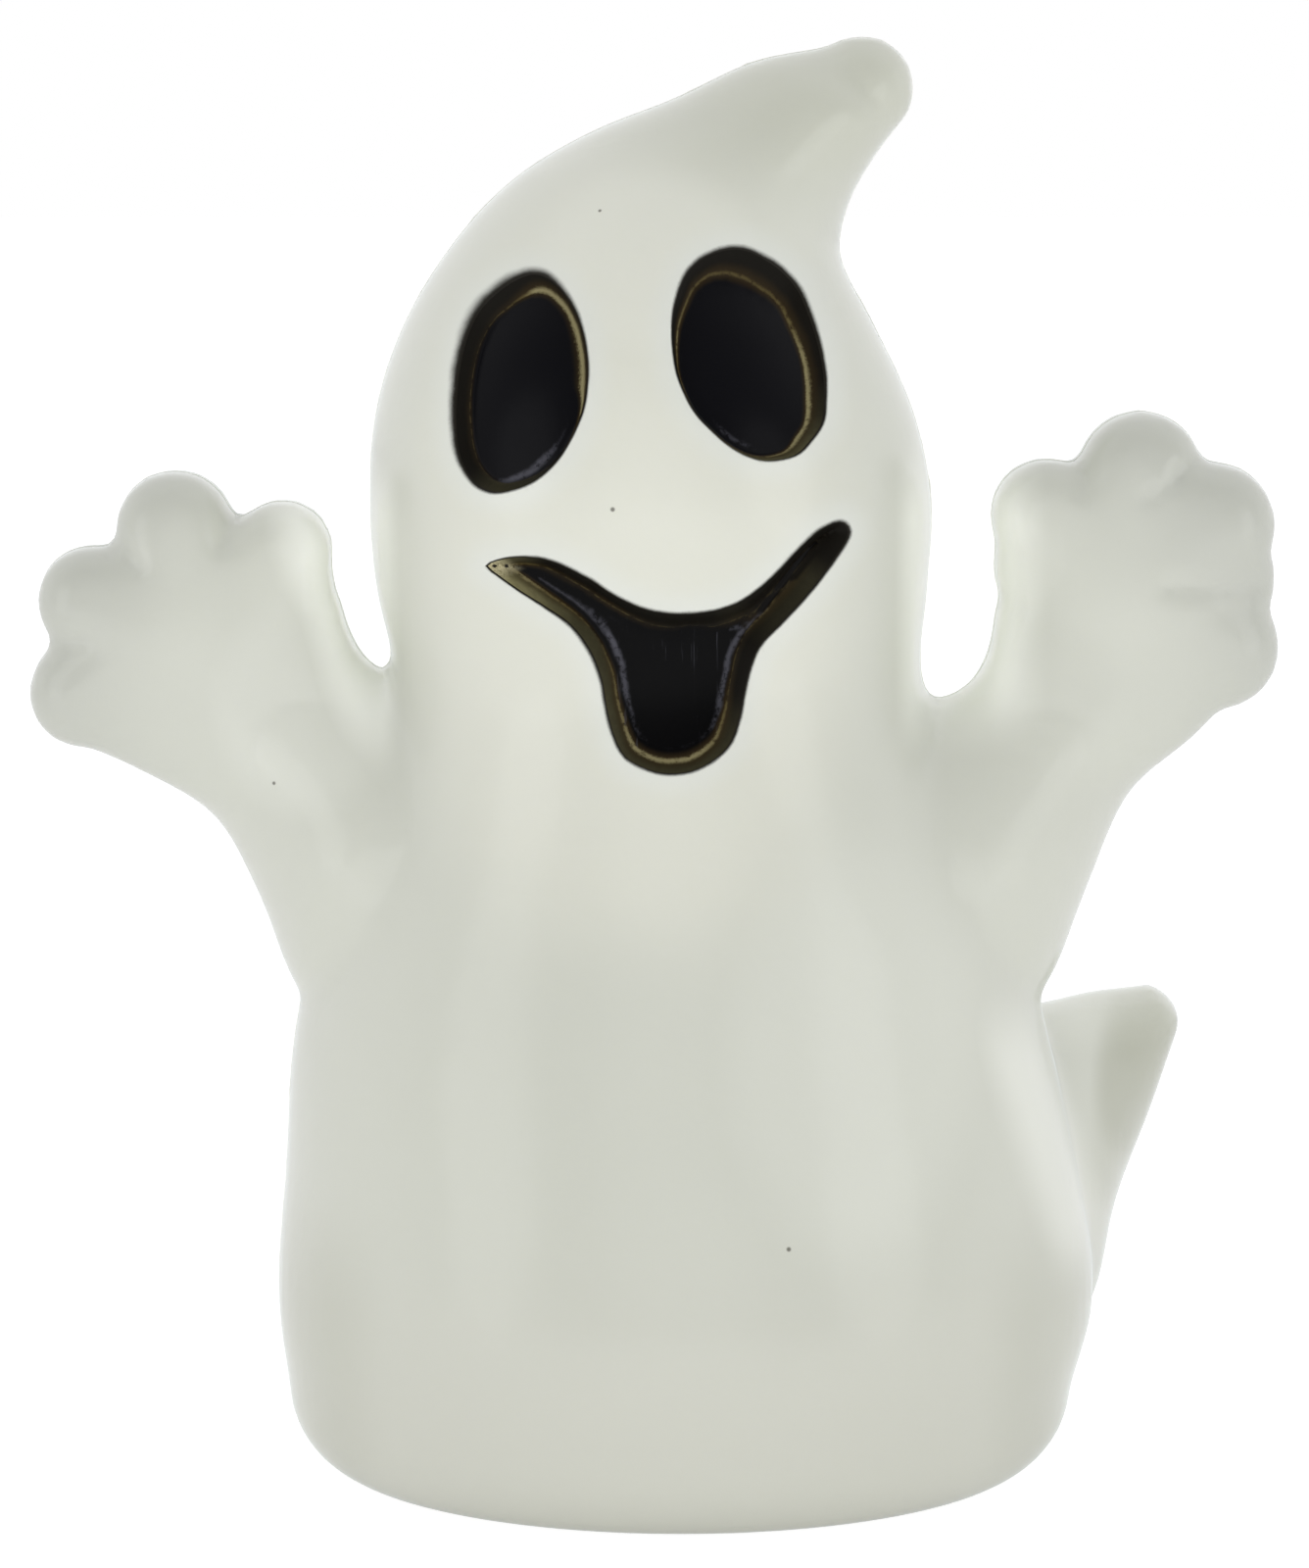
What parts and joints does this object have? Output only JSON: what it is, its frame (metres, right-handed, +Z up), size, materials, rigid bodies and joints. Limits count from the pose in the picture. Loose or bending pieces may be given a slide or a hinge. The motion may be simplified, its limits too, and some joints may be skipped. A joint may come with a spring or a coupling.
{
  "type": "ghost lamp",
  "caption": "Hollow milky plastic ghost with raised hands, a curled tip and recessed black face, lit by a battery base unit screwed in from below.",
  "frame": {"origin": "the middle of the lamp's own footprint box, on the surface it stands on", "axes": "+Z up, the ghost faces -Y, +X towards its curled tip and tail"},
  "size_m": [0.2244, 0.1342, 0.2607],
  "materials": {
    "milky_plastic": "satin milky translucent blow-moulded polyethylene, warm off-white",
    "black_enamel": "sprayed black enamel, glossy on the recess floors, gold-brown where it thins at the corners",
    "base_plastic": "fine-textured white injection-moulded plastic",
    "switch_plastic": "satin black moulded plastic",
    "frosted_plastic": "frosted translucent plastic",
    "screw_steel": "bright zinc-plated steel",
    "nickel_plate": "nickel-plated spring steel",
    "cell_wrap": "plain green foil wrap on a metal can",
    "board_laminate": "green solder lacquer on glass laminate",
    "led_epoxy": "clear-cast warm white LED epoxy",
    "resistor_ceramic": "satin beige coating",
    "wire_red": "satin red insulation",
    "wire_black": "satin black insulation",
    "wire_white": "satin white insulation"
  },
  "bodies": {
    "lamp": {"ghost_shell": "milky_plastic", "left_eye_enamel": "black_enamel", "right_eye_enamel": "black_enamel", "mouth_enamel": "black_enamel", "base_plate": "base_plastic", "base_screw_1": "screw_steel", "base_screw_2": "screw_steel", "base_screw_3": "screw_steel", "base_screw_4": "screw_steel", "battery_1": "cell_wrap", "battery_2": "cell_wrap", "battery_3": "cell_wrap", "contact_spring_1": "nickel_plate", "contact_spring_2": "nickel_plate", "contact_spring_3": "nickel_plate", "contact_positive": "nickel_plate", "contact_negative": "nickel_plate", "contact_link_left": "nickel_plate", "contact_link_right": "nickel_plate", "switch_body": "switch_plastic", "switch_terminal_1": "nickel_plate", "switch_terminal_2": "nickel_plate", "switch_terminal_3": "nickel_plate", "switch_screw_1": "screw_steel", "switch_screw_2": "screw_steel", "board_screw_1": "screw_steel", "board_screw_2": "screw_steel", "dome_screw_1": "screw_steel", "dome_screw_2": "screw_steel", "led_board": "board_laminate", "led_1": "led_epoxy", "led_2": "led_epoxy", "led_3": "led_epoxy", "resistor": "resistor_ceramic", "timer_chip": "switch_plastic", "light_dome": "frosted_plastic", "wire_red": "wire_red", "wire_black": "wire_black", "wire_link": "wire_white"},
    "door": {"battery_door": "base_plastic"},
    "door_fastener": {"door_screw": "screw_steel"},
    "slider": {"switch_slider": "switch_plastic"}
  },
  "joints": [
    {"name": "battery_door_hinge", "type": "hinge", "parent": "lamp", "child": "door", "pos_m": [-0.02487, 0, 0.0042], "axis": [0, 1, 0], "range_deg": [0, 90]},
    {"name": "door_screw_turn", "type": "hinge", "parent": "door", "child": "door_fastener", "pos_m": [0.03623, 0, 0.0034], "axis": [0, 0, 1], "continuous": true},
    {"name": "switch_slide", "type": "slide", "parent": "lamp", "child": "slider", "axis": [1, 0, 0], "range_m": [0, 0.004]}
  ]
}
